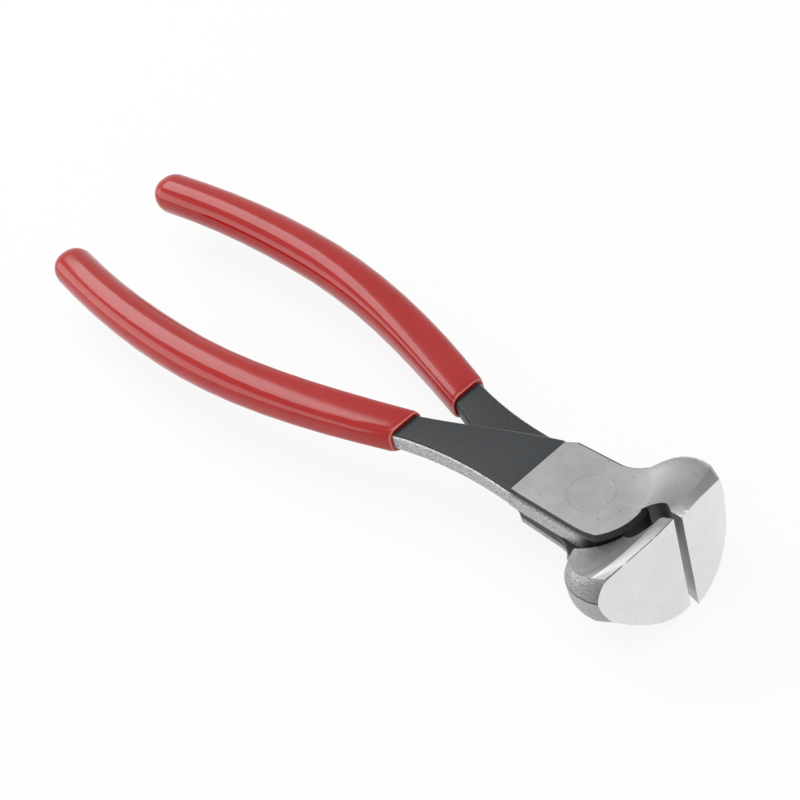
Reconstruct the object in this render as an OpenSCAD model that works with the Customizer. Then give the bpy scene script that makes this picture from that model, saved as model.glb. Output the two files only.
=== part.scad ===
// End cutting nippers: two lapped levers on a flush rivet, with two dipped grips.
// Shared frame: X runs from the grip ends to the jaws, Y across the tool, Z up from the floor.
// The tool is shown slightly open, as in the photo. The lower lever is the upper one
// turned half a turn about the long axis.

/* [Overall] */
// Length from the grip ends to the cutting edges
total_length = 200; // [180:1:220]
// Angle between the two jaws as drawn
rest_open = 4.9; // [3.5:0.1:7]

/* [Jaws] */
// Distance from the pivot axis to the cutting edges
front_reach = 27; // [25:0.5:31]
// Radius of the ground jaw fronts
front_r = 32; // [29:0.5:38]
// Length of the cutting edges
edge_height = 27.4; // [25:0.2:30]
// Shift of the ends of a cutting edge towards the lapped side of its jaw
edge_shift = 0.9; // [0:0.1:1.2]
// Angle from the closing face to the outer end of a jaw front
jaw_tip_angle = 43; // [40:0.5:46]
// Angle from the closing face to the outer root of a jaw
jaw_root_angle = 65.5; // [62:0.5:68]
// Height of the outer corner of a jaw front above the lap plane
front_corner = 6.8; // [5.8:0.1:7.6]
// Height of the outer corner of a jaw behind its front, on the head side
head_corner = 7.4; // [6.4:0.1:8.4]
// Height of the outer corner of a jaw behind its front, on the lapped side
lap_corner = 6.3; // [5.4:0.1:7.2]
// Width of the rim land behind the cutting edge
rim_land = 3.8; // [2.8:0.1:4.6]
// Width of the rim land at the outer end of a jaw
rim_land_end = 1.4; // [1:0.1:2.4]
// Fall of the rim land towards the joint
rim_fall = 0.9; // [0.4:0.1:1.4]
// Half width of the throat behind the cutting edges
throat_r = 4.6; // [3.8:0.1:5.2]
// Distance from the pivot axis to the widest place of the throat
throat_reach = 16.6; // [16:0.1:17.4]
// Depth of the closing faces from the cutting edge to the throat
closing_depth = 3; // [2.4:0.1:4]
// Relief angle behind the cutting edges
edge_relief = 3; // [1:0.5:5]

/* [Joint] */
// Height of the ground head face above the lap plane
joint_half = 5; // [4.6:0.1:6]
// Width of the joint plate
joint_width = 21.2; // [20:0.2:23]
// Radius of the round front of the joint plate
lap_radius = 13.8; // [13.2:0.1:14.4]
// Chamfer round the ground head face
face_chamfer = 1; // [0.4:0.1:1.4]
// Radius of the hollow between joint plate and jaw
root_fillet = 7.8; // [6.6:0.2:9]
// Height of the jaw back above the lap plane on the lapped side
step_height = 2.6; // [2:0.1:3.4]
// Diameter of the rivet
rivet_d = 8; // [6:0.2:9]
// Diameter of the countersunk rivet ends
rivet_head_d = 11; // [9.6:0.2:12]
// Depth of the countersinks
rivet_head_h = 1.5; // [1:0.1:2]

/* [Handles] */
// Half distance between the grip end centres
tip_half = 17.1; // [15:0.1:21]
// Half distance between the handle centres at the widest place
bow_half = 21.8; // [20:0.1:25]
// Half distance between the handle centres where the grips begin
mouth_half = 9.5; // [9:0.1:10.2]
// Distance from the pivot axis to the widest place
bow_reach = 118; // [110:1:125]
// Distance from the pivot axis to the front ends of the grips
mouth_reach = 50; // [46:0.5:55]
// Distance from the pivot axis to the back of the ground head face
neck_reach = 15; // [14:0.5:17]
// Width of the shank where the grips begin
shank_w = 8.4; // [7.8:0.1:9]
// Thickness of the shank
shank_t = 4.8; // [4.4:0.1:4.9]
// Width of the tang inside a grip at the widest place of the handles
tang_w = 8; // [7:0.1:8.6]
// Thickness of the tang inside a grip at the widest place of the handles
tang_t = 6.2; // [5.4:0.1:7]

/* [Grips] */
// Width of a grip
grip_w = 11.4; // [10.8:0.1:13]
// Width of a grip at its front end
grip_mouth_w = 10.5; // [10.1:0.1:11.4]
// Thickness of a grip
grip_t = 10; // [9.4:0.1:11.4]
// Thickness of a grip at its front end
grip_mouth_t = 7.2; // [6.6:0.1:8.6]
// Thickness of the closed end of a grip
grip_end_wall = 3.5; // [2.5:0.1:5]
// Rounding length of the grip ends
grip_round = 5.4; // [4.6:0.1:6]

/* [Clearances] */
// Gap between the two lap faces
lap_gap = 0.1; // [0.05:0.01:0.2]
// Gap between the round plate front and the jaw of the other lever
step_gap = 0.6; // [0.4:0.1:1]
// Radial running clearance of the rivet in the upper lever
rivet_clear = 0.04; // [0.02:0.01:0.08]
// Gap between a tang and its grip
grip_clear = 0.05; // [0.02:0.01:0.1]

/* [Hidden] */
$fn = 96;
half_open = rest_open / 2;
half_height = edge_height / 2;
foot_z = half_height + edge_shift;
tail_reach = total_length - front_reach;
pivot_x = (tail_reach - front_reach) / 2;
step_r = lap_radius + step_gap;
lap_z = lap_gap / 2;
plate_half = joint_width / 2;
// jaw loft
front_x = front_reach - front_r;
root_r = lap_radius - 2.6;
rim_top = half_height - rim_fall;
root_top = joint_half - 0.2;
crown_points = 12;
flank_points = 6;
jaw_points = crown_points + flank_points;
jaw_n_points = 2 * jaw_points + 1;
jaw_rows = [for (i = [0:11]) i / 11, 1.5, 2.35];
// root height, power of the rise, corner height, power of its rise,
// corner place at the root and behind the rim land, flank power, rise of the edge end
head_side = [root_top, 1.55, head_corner, 1.1, 0.97, 0.9, 2.6, -edge_shift];
lap_side = [step_height, 1.5, lap_corner, 2.6, 0.92, 0.9, 1.35, edge_shift];
// share of the crown over which the edge end rises
edge_share = 0.42;
// corner place and flank power at the front
front_place = 0.85;
front_flank = 1.35;
// power of the crown's fall at the back of the rim land and at the front
land_fall = 1.4;
front_fall = 2.1;
step_relief = 0.1;
throat_tip = front_reach - closing_depth;
throat_turn = acos(min(0.98, throat_r / (throat_tip - throat_reach)));
// handle path
tip_x = -(tail_reach - grip_round);
bow_x = -bow_reach;
mouth_x = -mouth_reach;
neck_x = -neck_reach;
plate_back = neck_x - 1.5;
tip_slope = 0.19;
mouth_slope = -0.31;
neck_slope = -0.13;
neck_half = 0.9;
neck_w = joint_width - 1.6;
lift = (joint_half + lap_z) / 2;
corner_points = 6;
ring_count = 4 * (corner_points + 1);

// Curve through two ends with given slopes
function ease(x, x0, x1, y0, y1, m0, m1) =
    let (t = min(1, max(0, (x - x0) / (x1 - x0))), d = x1 - x0)
    y0 * (1 + 2 * t) * (1 - t) * (1 - t) + d * m0 * t * (1 - t) * (1 - t)
    + y1 * t * t * (3 - 2 * t) - d * m1 * t * t * (1 - t);

// Distance of the handle centre line from the long axis
function path_y(x) =
    x < bow_x ? ease(x, tip_x, bow_x, tip_half, bow_half, tip_slope, 0)
    : x < mouth_x ? ease(x, bow_x, mouth_x, bow_half, mouth_half, 0, mouth_slope)
    : ease(x, mouth_x, neck_x, mouth_half, neck_half, mouth_slope, neck_slope);

// Slope of that line, brought to zero at the grip mouth so that the grip ends square to the tool
function path_m(x) =
    (path_y(x + 0.1) - path_y(x - 0.1)) / 0.2 * ease(x, mouth_x - 24, mouth_x, 1, 0, 0, 0);

// Height of the centre line above the lap plane
function path_z(x) = ease(x, tip_x, mouth_x, 0, lift, 0, 0);

// Half width of shank and tang
function steel_a(x) =
    x < bow_x ? ease(x, tip_x, bow_x, tang_w / 2 - 0.6, tang_w / 2, 0, 0)
    : x < mouth_x ? ease(x, bow_x, mouth_x, tang_w / 2, shank_w / 2, 0, 0.03)
    : ease(x, mouth_x, neck_x, shank_w / 2, neck_w / 2, 0.03, 0.2);

// Half thickness of shank and tang
function steel_b(x) =
    x < bow_x ? ease(x, tip_x, bow_x, tang_t / 2 - 0.4, tang_t / 2, 0, 0)
    : ease(x, bow_x, mouth_x, tang_t / 2, shank_t / 2, 0, 0);

// Corner radius of shank and tang
function steel_c(x) = ease(x, mouth_x - 30, mouth_x + 12, shank_t / 2 - 0.1, 0.9, 0, 0);

// Half width and half thickness of a grip
function grip_a(x) =
    x < bow_x ? ease(x, tip_x, bow_x, grip_w / 2 - 0.4, grip_w / 2, 0, 0)
    : ease(x, bow_x, mouth_x, grip_w / 2, grip_mouth_w / 2, 0, 0);
function grip_b(x) =
    x < bow_x ? ease(x, tip_x, bow_x, grip_t / 2 - 0.2, grip_t / 2, 0, 0)
    : ease(x, bow_x, mouth_x, grip_t / 2, grip_mouth_t / 2, 0, 0);

// Round cornered section across the handle path at x
function section(x, a, b, c) =
    let (m = path_m(x), n = sqrt(1 + m * m), ux = m / n, uy = 1 / n)
    [for (q = [0:3], i = [0:corner_points])
        let (w = 90 * q + 90 * i / corner_points,
             sx = q == 0 || q == 3 ? 1 : -1,
             sz = q < 2 ? 1 : -1,
             u = sx * (a - c) + c * cos(w),
             v = sz * (b - c) + c * sin(w))
        [x + ux * u, -path_y(x) + uy * u, path_z(x) + v]];

function steel_ring(x, k, g) =
    let (a = (steel_a(x) + g) * k, b = (steel_b(x) + g) * k)
    section(x, a, b, min(steel_c(x) * k + g, 0.96 * min(a, b)));

function grip_ring(x, k) =
    let (a = grip_a(x) * k, b = grip_b(x) * k)
    section(x, a, b, min(a, b) * ease(x, bow_x, mouth_x - 10, 0.95, 0.7, 0, 0));

// Rows of side faces between rings that start at point s
function sides(s, rows, n) =
    [for (r = [0:rows - 2], i = [0:n - 1])
        let (j = (i + 1) % n, p = s + r * n)
        each [[p + i, p + n + i, p + n + j], [p + i, p + n + j, p + j]]];
function turned(faces) = [for (f = faces) [for (i = [len(f) - 1:-1:0]) f[i]]];
function flat(rings) = [for (r = rings, p = r) p];

// Rings of the steel from the tang end to the neck
steel_end = -tail_reach + grip_end_wall;
steel_rows = [
    for (w = [15:25:90]) [steel_end + 3 * (1 - cos(w)), sin(w)],
    for (i = [1:12]) [steel_end + 3 + (mouth_x - steel_end - 3) * i / 12, 1],
    for (i = [1:8]) [mouth_x + (plate_back - mouth_x) * i / 8, 1],
    [neck_x + 1, 0.96]];

// Rings of a grip from the closed end to its mouth
grip_outer = [
    for (w = [12:13:90]) [-tail_reach + grip_round * (1 - cos(w)), sin(w)],
    for (i = [1:13]) [tip_x + (mouth_x - 1.2 - tip_x) * i / 13, 1],
    [mouth_x - 0.4, 0.965],
    [mouth_x, 0.91]];
grip_inner = [for (r = steel_rows) if (r[0] < mouth_x - 2) r, [mouth_x, 1]];

// Outline moved inwards by c
function unit(v) = v / norm(v);
function inward(a, b) = let (d = unit(b - a)) [-d[1], d[0]];
function shrunk(p, c) =
    let (n = len(p))
    [for (i = [0:n - 1])
        let (u = inward(p[(i + n - 1) % n], p[i]), v = inward(p[i], p[(i + 1) % n]))
        p[i] + c * (u + v) / (1 + u * v)];

function arc(x, y, r, a0, a1, n) =
    [for (i = [0:n]) let (w = a0 + (a1 - a0) * i / n) [x + r * cos(w), y + r * sin(w)]];

// Plan outline of the joint plate
plate_start = -asin(plate_half / lap_radius);
fillet_x = -1.6;
fillet_y = plate_half + root_fillet;
throat_angle = half_open + asin(throat_r / lap_radius);
plate_line = concat(
    [[plate_back, 0.2 - path_y(plate_back) - steel_a(plate_back)]],
    [[neck_x + 2, -plate_half]],
    [[lap_radius * cos(plate_start) - 5, -plate_half]],
    [[lap_radius * cos(plate_start) - 1.8, -plate_half + 0.25]],
    arc(0, 0, lap_radius, plate_start + 6, throat_angle, 16),
    arc(0, 0, step_r + 2.4, throat_angle + 3, 58, 6),
    arc(fillet_x, fillet_y, root_fillet, -32, -90, 8),
    [[neck_x + 1.5, plate_half - 0.5]],
    [[plate_back, -path_y(plate_back) + steel_a(plate_back) - 0.1]]);

// Distance from the pivot axis to the jaw front, at an angle from the closing face
function front_line(w) = front_x * cos(w) + sqrt(front_r * front_r - pow(front_x * sin(w), 2));

// Distance to the back of the rim land, at a share q of the way to the outer end
function land_line(q) =
    front_line(jaw_tip_angle * q) - rim_land + (rim_land - rim_land_end) * q * q;

// Distance to a jaw row: 0 at the root, 1 at the back of the rim land, 2 at the front
function jaw_r(u, q) =
    u < 1 ? root_r + (land_line(q) - root_r) * u
    : land_line(q) + (front_line(jaw_tip_angle * q) - land_line(q)) * (u - 1);

// Angle from the closing face to the outer end of a jaw row
function jaw_end(u) =
    let (t = max(0, (jaw_r(u, 1) - step_r) / (front_line(jaw_tip_angle) - step_r)))
    jaw_root_angle - (jaw_root_angle - jaw_tip_angle) * pow(t, 2.7);

// Half a jaw row on one side: a crown that falls to the outer corner, then the flank
function mix(a, b, t) = a + (b - a) * t;
function half_row(u, side) =
    let (back = min(1, u),
         land = max(0, u - 1),
         ahead = min(1, land),
         top = mix(side[0], rim_top, pow(back, side[1])) + rim_fall * land,
         corner = min(top, mix(mix(side[0], side[2], pow(back, side[3])), front_corner, ahead)),
         place = mix(mix(side[4], side[5], back * back), front_place, ahead),
         fall = mix(land_fall, front_fall, ahead),
         flank = mix(side[6], front_flank, ahead),
         e = jaw_end(u))
    [for (k = [0:jaw_points])
        let (t = k <= crown_points ? k / crown_points : sin(90 * (k - crown_points) / flank_points),
             q = k <= crown_points ? place * t : mix(place, 1, t),
             tip = side[7] * land * pow(max(0, 1 - t / edge_share), 1.6),
             z = k <= crown_points
                 ? mix(top, corner, pow(t, fall)) + tip
                 : corner * pow(1 - pow(t, flank), 1 / flank),
             r = jaw_r(u, q),
             w = half_open + e * q)
        [r * cos(w), r * sin(w), z]];
function jaw_ring(u) =
    let (top = half_row(u, head_side), low = half_row(u, lap_side))
    [for (p = top) p, for (k = [jaw_points - 1:-1:0]) [low[k][0], low[k][1], -low[k][2]]];

// Chamfered flat plate from a plan outline that is all in sight of the pivot axis
module plate() {
    n = len(plate_line);
    inner = shrunk(plate_line, face_chamfer);
    points = [
        for (p = plate_line) [p[0], p[1], lap_z],
        for (p = plate_line) [p[0], p[1], joint_half - face_chamfer],
        for (p = inner) [p[0], p[1], joint_half],
        [0, 0, lap_z],
        [0, 0, joint_half]];
    low = [for (i = [0:n - 1]) [3 * n, i, (i + 1) % n]];
    high = [for (i = [0:n - 1]) [3 * n + 1, 2 * n + (i + 1) % n, 2 * n + i]];
    polyhedron(points, concat(low, sides(0, 3, n), high), convexity = 6);
}

// Shank and tang as one loft along the handle path
module handle_steel() {
    rows = len(steel_rows);
    rings = [for (r = steel_rows) steel_ring(r[0], r[1], 0)];
    cap0 = [for (i = [0:ring_count - 1]) i];
    cap1 = [for (i = [0:ring_count - 1]) rows * ring_count - 1 - i];
    polyhedron(flat(rings), concat([cap0], sides(0, rows, ring_count), [cap1]), convexity = 6);
}

// Flared jaw with its round ground front
module jaw() {
    rows = len(jaw_rows);
    n = jaw_n_points;
    last = (rows - 1) * n;
    rings = [for (u = jaw_rows) jaw_ring(u)];
    back = [for (i = [0:jaw_points - 1])
        each i == jaw_points - 1
            ? [[i, i + 1, n - 1 - i]]
            : [[i, i + 1, n - 1 - i], [i + 1, n - 2 - i, n - 1 - i]]];
    front = [for (f = back) [for (q = f) last + q]];
    difference() {
        intersection() {
            polyhedron(flat(rings), concat(turned(back), turned(sides(0, rows, n)), front), convexity = 6);
            rotate([0, 0, half_open])
                translate([front_x, 0, 0])
                    cylinder(r = front_r, h = 3 * edge_height, center = true, $fn = 240);
        }
        // room for the round plate front of the other lever
        translate([0, 0, lap_z + step_relief - edge_height])
            cylinder(r = step_r, h = edge_height);
        rotate([0, 0, half_open]) {
            linear_extrude(height = 2 * edge_height, center = true)
                polygon(concat(
                    [[throat_tip, 0]],
                    arc(throat_reach, 0, throat_r, throat_turn, 360 - throat_turn, 32)));
            translate([front_reach, 0, 0])
                rotate([0, 0, 180 - edge_relief])
                    translate([0, 0, -edge_height])
                        cube([closing_depth + throat_r, 2, 2 * edge_height]);
        }
    }
}

// One bare lever about the pivot axis, lap plane at zero
module lever_steel() {
    plate();
    handle_steel();
    jaw();
}

// Countersunk rivet hole with clearance c
module rivet_room(c) {
    rotate_extrude()
        polygon([
            [0, -joint_half - 1],
            [rivet_d / 2 + c, -joint_half - 1],
            [rivet_d / 2 + c, joint_half - rivet_head_h - c],
            [rivet_head_d / 2 + c, joint_half - c],
            [rivet_head_d / 2 + c, joint_half + 1],
            [0, joint_half + 1]]);
}

module at_pivot() {
    translate([pivot_x, 0, foot_z]) children();
}

module grip_shell() {
    outer = [for (r = grip_outer) grip_ring(r[0], r[1])];
    inner = [for (r = grip_inner) steel_ring(r[0], r[1], grip_clear)];
    no = len(outer);
    ni = len(inner);
    s = no * ring_count;
    cap_o = [for (i = [0:ring_count - 1]) i];
    cap_i = [for (i = [0:ring_count - 1]) s + ring_count - 1 - i];
    eo = (no - 1) * ring_count;
    ei = s + (ni - 1) * ring_count;
    mouth = [for (i = [0:ring_count - 1])
        let (j = (i + 1) % ring_count)
        each [[eo + i, ei + i, ei + j], [eo + i, ei + j, eo + j]]];
    polyhedron(concat(flat(outer), flat(inner)),
        concat([cap_o], sides(0, no, ring_count), [cap_i], turned(sides(s, ni, ring_count)), mouth),
        convexity = 8);
}

module upper_lever() {
    color([0.42, 0.43, 0.44]) at_pivot() difference() {
        lever_steel();
        rivet_room(rivet_clear);
    }
}

module lower_lever() {
    color([0.36, 0.37, 0.38]) at_pivot() rotate([180, 0, 0]) difference() {
        lever_steel();
        rivet_room(0);
    }
}

module pivot_rivet() {
    color([0.7, 0.7, 0.7]) at_pivot() rotate_extrude()
        polygon([
            [0, -joint_half],
            [rivet_head_d / 2, -joint_half],
            [rivet_d / 2, -joint_half + rivet_head_h],
            [rivet_d / 2, joint_half - rivet_head_h],
            [rivet_head_d / 2, joint_half],
            [0, joint_half]]);
}

module upper_grip() {
    color([0.7, 0.16, 0.14]) at_pivot() grip_shell();
}

module lower_grip() {
    color([0.7, 0.16, 0.14]) at_pivot() rotate([180, 0, 0]) grip_shell();
}

upper_lever();
lower_lever();
pivot_rivet();
upper_grip();
lower_grip();
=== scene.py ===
import math

import bpy
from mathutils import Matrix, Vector


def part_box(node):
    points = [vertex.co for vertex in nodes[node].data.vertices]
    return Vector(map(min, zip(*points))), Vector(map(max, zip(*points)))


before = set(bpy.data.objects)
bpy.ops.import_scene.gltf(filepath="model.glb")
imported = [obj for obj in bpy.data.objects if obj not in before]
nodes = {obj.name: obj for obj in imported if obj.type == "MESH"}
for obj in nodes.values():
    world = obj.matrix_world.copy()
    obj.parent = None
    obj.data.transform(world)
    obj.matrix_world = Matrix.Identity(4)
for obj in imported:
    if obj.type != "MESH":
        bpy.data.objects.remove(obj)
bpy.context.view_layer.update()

# Looks of the end cutting nippers: finishes, studio light and the photo's camera.
# Every shape is a solid of the part. Each face of a lever gets its finish by its place.

MM = 0.001

# Sizes of the part, in millimetres and degrees, about the pivot axis and the lap plane
HALF_OPEN = 2.45
FRONT_REACH = 27.0
FRONT_R = 32.0
TIP_ANGLE = 43.0
ROOT_ANGLE = 65.5
RIM_LAND = 3.8
RIM_LAND_END = 1.4
LAP_R = 13.8
STEP_R = 14.4
ROOT_R = 11.2
THROAT_R = 4.6
CLOSING_DEPTH = 3.0
NECK = -15.0
MOUTH = -50.0
CHAMFER = 1.0
LIP = 0.4
FRONT_X = FRONT_REACH - FRONT_R
TURN = math.radians(HALF_OPEN)

rivet_low, rivet_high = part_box("pivot_rivet")
PIVOT = (rivet_low + rivet_high) / 2
FACE_Z = (rivet_high.z - PIVOT.z) / MM


# Shading helpers

COOL_TINT = (0.985, 1.0, 1.015)


def grey(value):
    """Linear colour of a slightly cool grey, from its 8-bit display value."""
    v = value / 255
    v = v / 12.92 if v <= 0.04045 else ((v + 0.055) / 1.055) ** 2.4
    return tuple(tint * v for tint in COOL_TINT)


def material(name):
    """A new Principled material: itself, its tree and its shader."""
    mat = bpy.data.materials.new(name)
    mat.use_nodes = True
    return mat, mat.node_tree, mat.node_tree.nodes["Principled BSDF"]


def place(tree, scale=(1, 1, 1)):
    """Rest position in millimetres from the pivot, with the grain stretched by scale."""
    coord = tree.nodes.new("ShaderNodeTexCoord")
    mapping = tree.nodes.new("ShaderNodeMapping")
    mapping.vector_type = "TEXTURE"
    mapping.inputs["Location"].default_value = PIVOT
    mapping.inputs["Scale"].default_value = [MM * s for s in scale]
    tree.links.new(coord.outputs["Object"], mapping.inputs["Vector"])
    return mapping.outputs["Vector"]


def noise(tree, scale, detail=3.0, stretch=(1, 1, 1)):
    """Noise of about 0.3 to 0.7, scale waves to the millimetre."""
    node = tree.nodes.new("ShaderNodeTexNoise")
    node.inputs["Scale"].default_value = scale
    node.inputs["Detail"].default_value = detail
    tree.links.new(place(tree, stretch), node.inputs["Vector"])
    return node.outputs["Fac"]


def spread(tree, value, low, high, to_low, to_high):
    """value between low and high, carried over to to_low and to_high."""
    node = tree.nodes.new("ShaderNodeMapRange")
    tree.links.new(value, node.inputs["Value"])
    for name, number in (("From Min", low), ("From Max", high), ("To Min", to_low), ("To Max", to_high)):
        node.inputs[name].default_value = number
    return node.outputs["Result"]


def math_node(tree, operation, a, b=0.0):
    """Result of a math node; a and b are numbers or sockets."""
    node = tree.nodes.new("ShaderNodeMath")
    node.operation = operation
    for slot, value in enumerate((a, b)):
        if isinstance(value, (int, float)):
            node.inputs[slot].default_value = value
        else:
            tree.links.new(value, node.inputs[slot])
    return node.outputs[0]


def blend(tree, factor, first, second):
    """Colour from first to second; either may be another colour socket."""
    node = tree.nodes.new("ShaderNodeMix")
    node.data_type = "RGBA"
    tree.links.new(factor, node.inputs["Factor"])
    for slot, value in ((6, first), (7, second)):
        if isinstance(value, tuple):
            node.inputs[slot].default_value = (*value, 1)
        else:
            tree.links.new(value, node.inputs[slot])
    return node.outputs[2]


def bump(tree, height, strength, depth_mm):
    """Normal of a fine relief."""
    node = tree.nodes.new("ShaderNodeBump")
    node.inputs["Strength"].default_value = strength
    node.inputs["Distance"].default_value = depth_mm * MM
    tree.links.new(height, node.inputs["Height"])
    return node.outputs["Normal"]


def along(tree, axis):
    """Place along one axis, in millimetres from the pivot."""
    parts = tree.nodes.new("ShaderNodeSeparateXYZ")
    tree.links.new(place(tree), parts.inputs["Vector"])
    return parts.outputs[axis]


def distance(tree, axis):
    """Distance from the pivot along one axis, to either side."""
    return math_node(tree, "ABSOLUTE", along(tree, axis))


def front_depth(tree):
    """Depth behind the round front of the jaws, in millimetres."""
    dx = math_node(tree, "SUBTRACT", along(tree, "X"), FRONT_X * math.cos(TURN))
    dy = math_node(tree, "SUBTRACT", distance(tree, "Y"), FRONT_X * math.sin(TURN))
    squares = [math_node(tree, "MULTIPLY", d, d) for d in (dx, dy)]
    radius = math_node(tree, "SQRT", math_node(tree, "ADD", *squares))
    return math_node(tree, "SUBTRACT", FRONT_R, radius)


# Finishes: tones are 8-bit display values, places and widths are millimetres

BURR_WIDTH = 0.5
BURR_SHARE = 0.8
BAND_FULL, BAND_END = 4.2, 6.0
BAND_SHARE = 0.7
BAND_TONE = 108
# Painted light and shade on a rim land: another tone outwards
PAINTED_OUTWARD_START, PAINTED_OUTWARD_FULL = 3, 10
PAINTED_OUTWARD_SHARE = 0.85
# Painted shade on a jaw flank towards its front
FLANK_SHADE_START, FLANK_SHADE_FULL = 14, 21
PARTING_CORE, PARTING_EDGE = 0.1, 0.32
# A plate side's dark finish and painted shadow near the lap end where its trimmed rim begins
RIM_START, RIM_FULL = 2.3, 2.9
CORNER_START, CORNER_FULL = 4.5, 8.5
CHAMFER_LIGHT, CHAMFER_DARK = 0.75, 0.55
DARK_TONE = 60


def burr(tree, shade):
    """Broken dark burr along the front edge of a rim land."""
    edge = spread(tree, front_depth(tree), BURR_WIDTH / 2, BURR_WIDTH, BURR_SHARE, 0)
    gaps = spread(tree, noise(tree, 0.33, 1.0), 0.44, 0.52, 0, 1)
    return blend(tree, math_node(tree, "MULTIPLY", edge, gaps), shade, grey(DARK_TONE))


def behind_land(tree, shade):
    """Darker band along the back of a rim land."""
    wave = spread(tree, noise(tree, 0.3, 2.0), 0.3, 0.7, -0.5, 0.5)
    depth = math_node(tree, "ADD", front_depth(tree), wave)
    return blend(tree, spread(tree, depth, BAND_FULL, BAND_END, BAND_SHARE, 0), shade, grey(BAND_TONE))


def ground_steel(name, tone, step, stretch, rough, pits=0.0, outer=None, extra=None):
    """Ground steel: fine lines along the stretch, a slow drift of tone, dark pits, and painted light and
    shade as another tone outwards.
    """
    mat, tree, shader = material(name)
    lines = noise(tree, 2.2, stretch=stretch)
    both = math_node(tree, "ADD", lines, noise(tree, 0.14, 2.0))
    shade = blend(tree, spread(tree, both, 0.75, 1.25, 0, 1), grey(tone - step), grey(tone + step))
    # Painted light and shade: the tone goes over to the outer tone sideways from the pivot
    if outer:
        off = spread(tree, distance(tree, "Y"), PAINTED_OUTWARD_START, PAINTED_OUTWARD_FULL, 0, PAINTED_OUTWARD_SHARE)
        shade = blend(tree, off, shade, grey(outer))
    if pits:
        spots = spread(tree, noise(tree, 1.1, 4.0), 0.67, 0.74, 0, pits)
        shade = blend(tree, spots, shade, grey(tone * 0.6))
    if extra:
        shade = extra(tree, shade)
    tree.links.new(shade, shader.inputs["Base Color"])
    tree.links.new(spread(tree, lines, 0.3, 0.7, *rough), shader.inputs["Roughness"])
    tree.links.new(bump(tree, lines, 0.15, 0.01), shader.inputs["Normal"])
    shader.inputs["Metallic"].default_value = 1
    return mat


def speckled_steel(name, dark, light, scale, depth):
    """Steel with a fine speckle, not yet coloured: the material, its tree, its shader and the shade."""
    mat, tree, shader = material(name)
    fine = noise(tree, scale, 2.0)
    shade = blend(tree, spread(tree, fine, 0.36, 0.64, 0, 1), grey(dark), grey(light))
    shader.inputs["Metallic"].default_value = 1
    shader.inputs["Roughness"].default_value = 0.5
    tree.links.new(bump(tree, fine, 0.5, depth), shader.inputs["Normal"])
    return mat, tree, shader, shade


def forged_steel(name, dark, light, front_shade_tone):
    """Speckled flank of a jaw, with painted shade of a given tone towards its front, and a dark parting line
    at mid height.
    """
    mat, tree, shader, shade = speckled_steel(name, dark, light, 2.6, 0.03)
    # Painted shade: towards the front the flank goes over to the front tone
    ahead = spread(tree, along(tree, "X"), FLANK_SHADE_START, FLANK_SHADE_FULL, 0, 0.75)
    shade = blend(tree, ahead, shade, grey(front_shade_tone))
    wave = spread(tree, noise(tree, 0.25, 1.0), 0.3, 0.7, -0.25, 0.25)
    off = math_node(tree, "ABSOLUTE", math_node(tree, "ADD", along(tree, "Z"), wave))
    line = spread(tree, off, PARTING_CORE, PARTING_EDGE, 1, 0)
    tree.links.new(blend(tree, line, shade, grey(DARK_TONE)), shader.inputs["Base Color"])
    return mat


def plate_steel(name, dark, light, lap_finish_and_shadow_tone):
    """Inner side of a joint plate: dark near the lap, where its dark finish takes the painted shadow of the
    other lever's plate, with a light trimmed rim.
    """
    mat, tree, shader, shade = speckled_steel(name, dark, light, 3.0, 0.04)
    # Dark finish with painted shadow near the lap, the trimmed rim further out
    rim = spread(tree, distance(tree, "Z"), RIM_START, RIM_FULL, 0, 1)
    tree.links.new(blend(tree, rim, grey(lap_finish_and_shadow_tone), shade), shader.inputs["Base Color"])
    return mat


def trimmed_steel(name, dark, light, at_face=None):
    """Trimmed outer side, dark round the front corner; a chamfer has tone at_face along the head face."""
    mat, tree, shader, shade = speckled_steel(name, dark, light, 3.0, 0.04)
    ahead = spread(tree, along(tree, "X"), CORNER_START, CORNER_FULL, 0, 0.9)
    shade = blend(tree, ahead, shade, grey(DARK_TONE))
    if at_face:
        near = spread(tree, distance(tree, "Z"), FACE_Z - CHAMFER_LIGHT, FACE_Z - CHAMFER_DARK, 0, 1)
        shade = blend(tree, near, shade, grey(at_face))
    tree.links.new(shade, shader.inputs["Base Color"])
    return mat


def dark_steel(name, dark, light, rough, shine):
    """Black finished steel, grained between two shades."""
    mat, tree, shader = material(name)
    grain = noise(tree, 1.8)
    shade = blend(tree, spread(tree, grain, 0.35, 0.65, 0, 1), dark, light)
    tree.links.new(shade, shader.inputs["Base Color"])
    tree.links.new(bump(tree, grain, 0.2, 0.03), shader.inputs["Normal"])
    shader.inputs["Roughness"].default_value = rough
    shader.inputs["Specular IOR Level"].default_value = shine
    return mat


def red_plastic(name, deep, pale):
    """Glossy dipped plastic, cloudy between two shades."""
    mat, tree, shader = material(name)
    cloud = noise(tree, 0.12, 2.0)
    shade = blend(tree, spread(tree, cloud, 0.3, 0.7, 0, 1), deep, pale)
    tree.links.new(shade, shader.inputs["Base Color"])
    tree.links.new(bump(tree, noise(tree, 0.35), 0.06, 0.05), shader.inputs["Normal"])
    shader.inputs["Roughness"].default_value = 0.13
    shader.inputs["IOR"].default_value = 1.45
    shader.inputs["Sheen Weight"].default_value = 0.12
    shader.inputs["Sheen Roughness"].default_value = 0.3
    return mat


ground = ground_steel("ground_face", 143, 8, (8, 0.5, 1), (0.42, 0.52), pits=0.6)
polished = ground_steel("ground_front", 226, 4, (0.5, 0.5, 8), (0.24, 0.32))
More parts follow.
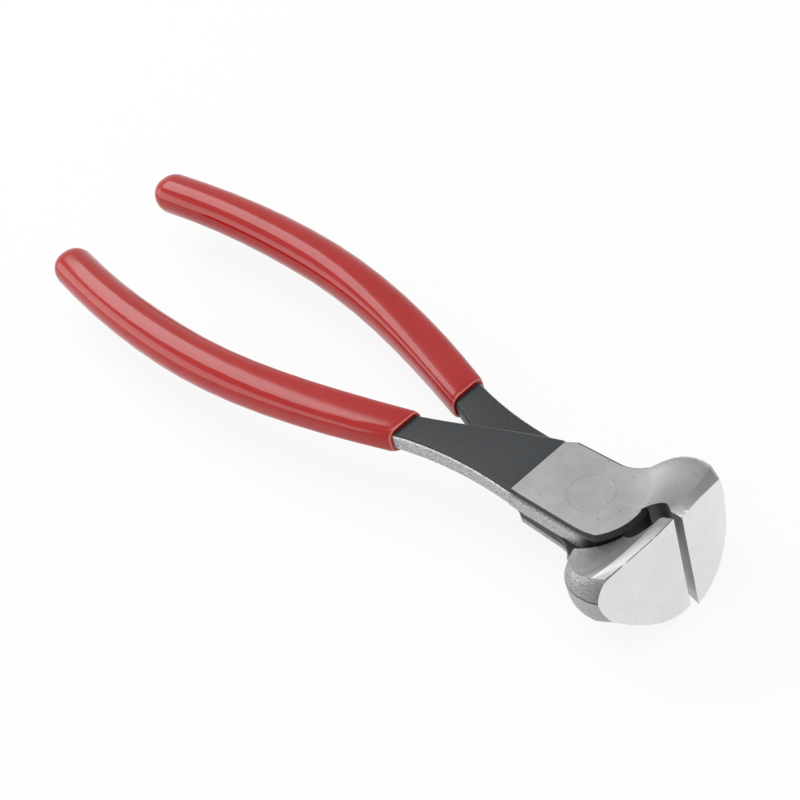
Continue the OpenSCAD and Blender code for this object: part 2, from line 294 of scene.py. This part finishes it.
# Painted shade outwards on the head rim land, painted light outwards on the lap rim land
head_land = ground_steel("head_rim_land", 152, 8, (0.6, 5, 0.6), (0.3, 0.38), outer=118)
lap_land = ground_steel("lap_rim_land", 132, 10, (0.6, 5, 0.6), (0.42, 0.5), outer=182, extra=burr)
jaw_back = ground_steel("jaw_back", 141, 9, (3, 1, 1), (0.36, 0.44), pits=0.5, extra=behind_land)
closing = ground_steel("closing_face", 180, 6, (1, 1, 6), (0.4, 0.5))
throat = ground_steel("throat_wall", 112, 8, (1, 1, 6), (0.4, 0.5))
# Both flanks take painted shade towards the front
lap_flank = forged_steel("lap_flank", 132, 182, front_shade_tone=108)
head_flank = forged_steel("head_flank", 160, 190, front_shade_tone=164)
trimmed = trimmed_steel("trimmed_side", 138, 204)
chamfer = trimmed_steel("face_chamfer", 88, 132, at_face=62)
# Plate sides: dark finish and painted shadow at the lap
plate_side = plate_steel("plate_side", 130, 190, lap_finish_and_shadow_tone=70)
pale_edge = ground_steel("pale_edge", 150, 20, (4, 1, 1), (0.3, 0.4))
black = dark_steel("black_finish", (0.020, 0.023, 0.026), (0.030, 0.034, 0.038), rough=0.45, shine=0.28)
# Black finish deepened by painted shade, for walls, gaps and undersides of the head
shaded_black_wall = dark_steel("shaded_black_wall", (0.008, 0.008, 0.009), (0.02, 0.021, 0.022), rough=0.5, shine=0.35)
red = red_plastic("grip_plastic", (0.36, 0.004, 0.003), (0.39, 0.007, 0.005))
# Paler red on the rim of a grip's mouth is a painted highlight
lip_highlight = red_plastic("grip_lip_highlight", (0.52, 0.10, 0.075), (0.58, 0.15, 0.12))
LEVER_FINISHES = [ground, polished, head_land, lap_land, jaw_back, closing, throat, lap_flank, head_flank,
                  trimmed, plate_side, chamfer, pale_edge, black, shaded_black_wall]


# Which finish each face has, by its centre c in millimetres from the pivot and its normal n

FLAT = 0.97
UPRIGHT = 0.12
FACE_SLACK = 0.05
WALL_SLACK = 0.2
FRONT_SLACK = 0.15


def front_line(angle):
    """Distance from the pivot axis to the jaw front, at an angle from the closing face."""
    a = math.radians(angle)
    return FRONT_X * math.cos(a) + math.sqrt(FRONT_R ** 2 - (FRONT_X * math.sin(a)) ** 2)


def land_line(q):
    """Distance to the back of the rim land, at a share q of the way to the outer end."""
    return front_line(TIP_ANGLE * q) - RIM_LAND + (RIM_LAND - RIM_LAND_END) * q * q


def jaw_end(u):
    """Angle from the closing face to the outer end of a jaw row."""
    r = ROOT_R + (land_line(1) - ROOT_R) * u if u < 1 else land_line(1) + RIM_LAND_END * (u - 1)
    t = max(0, (r - STEP_R) / (front_line(TIP_ANGLE) - STEP_R))
    return ROOT_ANGLE - (ROOT_ANGLE - TIP_ANGLE) * t ** 2.7


def jaw_share(r, angle):
    """Row u and share q of a place on a jaw, as the part counts them, by repeated guesses."""
    u, q = 0.5, 0.5
    for _ in range(12):
        q = min(1.0, max(0.0, angle / jaw_end(u)))
        back = land_line(q)
        if r < back:
            u = (r - ROOT_R) / (back - ROOT_R)
        else:
            u = 1 + (r - back) / (front_line(TIP_ANGLE * q) - back)
    return u, q


def corner_share(u, upper):
    """Share of the way to the outer end at which the flank begins."""
    root, behind, front = (0.97 if upper else 0.92), 0.9, 0.85
    row = root + (behind - root) * min(1, u) ** 2
    return row + (front - row) * min(1, max(0, u - 1))


def plate_finish(c, n):
    """Finish of the joint plate and its edges."""
    if n.z > FLAT and c.z > FACE_Z - FACE_SLACK:
        return ground
    # Chamfers away from the near side, undersides and other walls take black finish deepened by painted
    # shade
    if c.z > FACE_Z - CHAMFER and n.z > 0.2:
        return chamfer if n.y < -0.55 else shaded_black_wall
    if n.z < -0.5:
        return shaded_black_wall
    if n.y < -0.8:
        return trimmed
    return plate_side if n.y > 0.3 and c.x < LAP_R - 8 else shaded_black_wall


def handle_finish(c, n):
    """Finish of shank and tang."""
    if c.x < MOUTH:
        return black
    if n.y < -0.75:
        return trimmed
    # A pale line of ground steel along one rounded edge of the shank
    return pale_edge if n.y > 0.5 and 0.5 < n.z < 0.85 else black


def jaw_finish(c, n):
    """Finish of a jaw."""
    r = math.hypot(c.x, c.y)
    angle = math.degrees(math.atan2(c.y, c.x)) - HALF_OPEN
    ahead, aside = r * math.cos(math.radians(angle)), r * math.sin(math.radians(angle))
    facing_front = n.x * math.cos(TURN) + n.y * math.sin(TURN) > 0.5
    if abs(n.z) < UPRIGHT:
        if facing_front and math.hypot(ahead - FRONT_X, aside) > FRONT_R - FRONT_SLACK:
            return polished
        if aside < THROAT_R + WALL_SLACK:
            return closing if ahead > FRONT_REACH - CLOSING_DEPTH - WALL_SLACK else throat
        # Step wall: black finish deepened by painted shade
        if r < STEP_R + WALL_SLACK:
            return shaded_black_wall
    u, q = jaw_share(r, angle)
    if q > corner_share(u, c.z > 0) - 0.004:
        return head_flank if c.z > 0 else lap_flank
    if u > 1:
        return head_land if c.z > 0 else lap_land
    return ground if c.z > 0 else jaw_back


def upper_finish(c, n):
    """Finish of a face of the upper lever."""
    if c.x < NECK:
        at_face = n.z > FLAT and c.x > NECK - 0.4 and c.z > FACE_Z - FACE_SLACK
        return ground if at_face else handle_finish(c, n)
    on_plate = math.hypot(c.x, c.y) < LAP_R + FACE_SLACK or c.x < 4
    if on_plate and -0.1 < c.z < FACE_Z + 0.02:
        return plate_finish(c, n)
    return jaw_finish(c, n)


def lower_finish(c, n):
    """Finish of a face of the lower lever, which is the upper one turned over."""
    return upper_finish(Vector((c.x, -c.y, -c.z)), Vector((n.x, -n.y, -n.z)))


def grip_finish(c, n):
    """Finish of a grip, with a painted highlight round the rim of its mouth."""
    return lip_highlight if c.x > MOUTH - LIP and n.x < 0.95 else red


def rivet_finish(c, n):
    """The rivet is ground with the head faces."""
    return ground


def dress(name, finishes, choose):
    """Give a node its finishes, and each face the one that choose picks for it."""
    mesh = nodes[name].data
    mesh.materials.clear()
    for finish in finishes:
        mesh.materials.append(finish)
    for face in mesh.polygons:
        centre = (face.center - PIVOT) / MM
        face.material_index = finishes.index(choose(centre, face.normal))


dress("upper_lever", LEVER_FINISHES, upper_finish)
dress("lower_lever", LEVER_FINISHES, lower_finish)
dress("upper_grip", [red, lip_highlight], grip_finish)
dress("lower_grip", [red, lip_highlight], grip_finish)
dress("pivot_rivet", [ground], rivet_finish)


# Smooth shading

WELD_MM = 0.002
SMOOTH_BELOW = 24


def smooth_group():
    """Node group that welds a node's faces and shades them smooth, apart from its sharp edges."""
    group = bpy.data.node_groups.new("smooth_by_angle", "GeometryNodeTree")
    group.interface.new_socket("Geometry", in_out="INPUT", socket_type="NodeSocketGeometry")
    group.interface.new_socket("Geometry", in_out="OUTPUT", socket_type="NodeSocketGeometry")
    add, link = group.nodes.new, group.links.new
    start, end = add("NodeGroupInput"), add("NodeGroupOutput")
    weld = add("GeometryNodeMergeByDistance")
    weld.inputs["Distance"].default_value = WELD_MM * MM
    faces = add("GeometryNodeSetShadeSmooth")
    edges = add("GeometryNodeSetShadeSmooth")
    edges.domain = "EDGE"
    angle = add("GeometryNodeInputMeshEdgeAngle")
    soft = add("FunctionNodeCompare")
    soft.operation = "LESS_THAN"
    soft.inputs["B"].default_value = math.radians(SMOOTH_BELOW)
    link(start.outputs[0], weld.inputs["Geometry"])
    link(weld.outputs["Geometry"], faces.inputs["Geometry"])
    link(faces.outputs["Geometry"], edges.inputs["Geometry"])
    link(angle.outputs["Unsigned Angle"], soft.inputs["A"])
    link(soft.outputs["Result"], edges.inputs["Shade Smooth"])
    link(edges.outputs["Geometry"], end.inputs[0])
    return group


smooth = smooth_group()
for node in nodes.values():
    node.modifiers.new("smooth", "NODES").node_group = smooth


# Studio: white world and floor, and three soft boxes

WORLD_LIGHT = 0.6
FLOOR_WHITE = 0.88
FLOOR_SIZE = 6
FLOOR_COLOUR = (0.86, 0.86, 0.86, 1)


def seen_rays(tree, unseen, seen):
    """Value seen for camera, glossy and transmission rays, and unseen for the rest."""
    path = tree.nodes.new("ShaderNodeLightPath")
    rays = math_node(tree, "MAXIMUM", path.outputs["Is Camera Ray"], path.outputs["Is Glossy Ray"])
    rays = math_node(tree, "MAXIMUM", rays, path.outputs["Is Transmission Ray"])
    return spread(tree, rays, 0, 1, unseen, seen)


def white_world():
    """World that is white to look at and lights the object at WORLD_LIGHT."""
    world = bpy.data.worlds.new("studio")
    bpy.context.scene.world = world
    world.use_nodes = True
    background = world.node_tree.nodes["Background"]
    background.inputs["Color"].default_value = (1, 1, 1, 1)
    world.node_tree.links.new(seen_rays(world.node_tree, WORLD_LIGHT, 1), background.inputs["Strength"])


def white_floor():
    """Floor that is nearly white to look at and keeps the object's shadow."""
    bpy.ops.mesh.primitive_plane_add(size=FLOOR_SIZE, location=(0, 0, 0))
    floor = bpy.context.object
    floor.name = "floor"
    mat, tree, shader = material("floor_white")
    shader.inputs["Base Color"].default_value = FLOOR_COLOUR
    shader.inputs["Roughness"].default_value = 0.9
    shader.inputs["Specular IOR Level"].default_value = 0
    glow = tree.nodes.new("ShaderNodeEmission")
    mixed = tree.nodes.new("ShaderNodeMixShader")
    tree.links.new(seen_rays(tree, 0, FLOOR_WHITE), mixed.inputs["Fac"])
    tree.links.new(shader.outputs["BSDF"], mixed.inputs[1])
    tree.links.new(glow.outputs["Emission"], mixed.inputs[2])
    tree.links.new(mixed.outputs["Shader"], tree.nodes["Material Output"].inputs["Surface"])
    floor.data.materials.append(mat)
    return floor


def softbox(name, location, aim, size, watts):
    """A rectangular lamp turned towards aim."""
    light = bpy.data.lights.new(name, "AREA")
    light.shape = "RECTANGLE"
    light.size, light.size_y = size
    light.energy = watts
    lamp = bpy.data.objects.new(name, light)
    lamp.location = location
    lamp.rotation_euler = (Vector(aim) - Vector(location)).to_track_quat("-Z", "Y").to_euler()
    bpy.context.scene.collection.objects.link(lamp)


white_world()
floor = white_floor()
softbox("streak_box", location=(-0.69, 0.03, 0.745), aim=(-0.045, 0, 0.015), size=(0.62, 0.5), watts=3.6)
softbox("low_box", location=(-0.62, -0.75, 0.22), aim=(-0.03, -0.01, 0.015), size=(1.3, 0.5), watts=3.9)
softbox("top_box", location=(0.1, 0.0, 1.2), aim=(0.02, 0, 0), size=(0.8, 0.8), watts=3.0)


# Camera of the photo

TARGET = Vector((0.01169, -0.00168, PIVOT.z))
DISTANCE = 0.620
AZIMUTH, ELEVATION, ROLL = (math.radians(v) for v in (57.50, 42.68, 16.07))
LENS = 120.1
SENSOR_WIDTH = 36


def photo_camera():
    """Camera at the photo's place, turned and rolled as it was."""
    level = math.cos(ELEVATION)
    back = Vector((math.sin(AZIMUTH) * level, -math.cos(AZIMUTH) * level, math.sin(ELEVATION)))
    data = bpy.data.cameras.new("camera")
    data.sensor_width = SENSOR_WIDTH
    data.lens = LENS
    camera = bpy.data.objects.new("camera", data)
    camera.location = TARGET + back * DISTANCE
    camera.rotation_euler = back.to_track_quat("Z", "Y").to_euler()
    camera.rotation_euler.rotate_axis("Z", -ROLL)
    bpy.context.scene.collection.objects.link(camera)
    return camera


bpy.context.scene.camera = photo_camera()
bpy.context.scene.view_settings.view_transform = "Standard"
